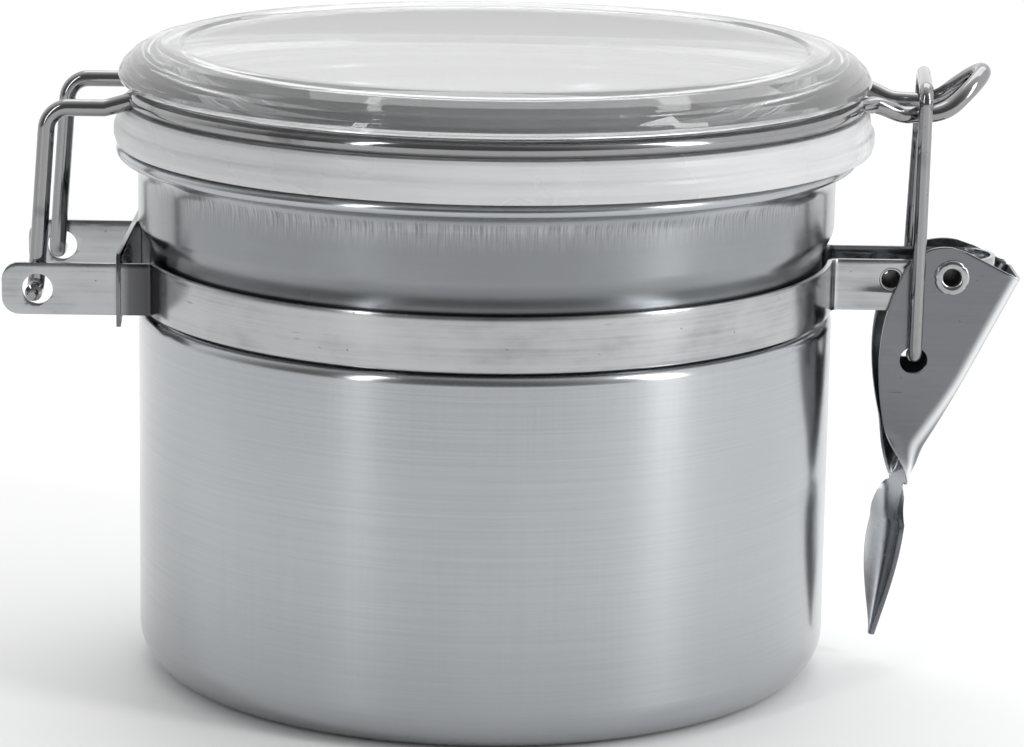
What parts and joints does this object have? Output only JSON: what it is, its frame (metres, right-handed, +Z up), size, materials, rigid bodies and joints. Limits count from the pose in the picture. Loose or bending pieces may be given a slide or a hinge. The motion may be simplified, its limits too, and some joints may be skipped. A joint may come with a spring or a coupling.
{
  "type": "food canister",
  "caption": "Round steel food canister with a clear hinged lid, a silicone seal and an over-centre lever latch on a steel band.",
  "frame": {"origin": "middle of the can's flat base", "axes": "+X towards the latch and -X towards the hinge, +Z up, Y across both joints' axes"},
  "size_m": [0.1808, 0.136, 0.1132],
  "materials": {
    "satin_steel": "satin drawn stainless steel",
    "polished_steel": "bright rolled stainless strip",
    "pressed_steel": "dull pressed stainless sheet",
    "clear_plastic": "clear moulded acrylic",
    "silicone": "translucent silicone",
    "wire_steel": "polished stainless wire"
  },
  "bodies": {
    "can": {"can_body": "satin_steel", "clamp_band": "polished_steel", "hinge_clip": "pressed_steel", "lug_eyelet": "polished_steel", "pivot_eyelet": "polished_steel"},
    "lid": {"lid": "clear_plastic", "gasket": "silicone", "lid_wire": "wire_steel"},
    "lever": {"latch_lever": "pressed_steel"},
    "bail": {"latch_bail": "wire_steel"}
  },
  "joints": [
    {"name": "lid_hinge", "type": "hinge", "parent": "can", "child": "lid", "pos_m": [-0.0793, 0, 0.0708], "axis": [0, -1, 0], "range_deg": [0, 180]},
    {"name": "lever_hinge", "type": "hinge", "parent": "can", "child": "lever", "pos_m": [0.0834, 0, 0.0732], "axis": [0, -1, 0], "range_deg": [0, 95]},
    {"name": "bail_hinge", "type": "hinge", "parent": "lever", "child": "bail", "pos_m": [0.0771, 0, 0.05885], "axis": [0, -1, 0], "range_deg": [-66.5, 0]}
  ],
  "couplings": [
    {"joint": "bail_hinge", "follows": "lever_hinge", "ratio": -0.7}
  ]
}
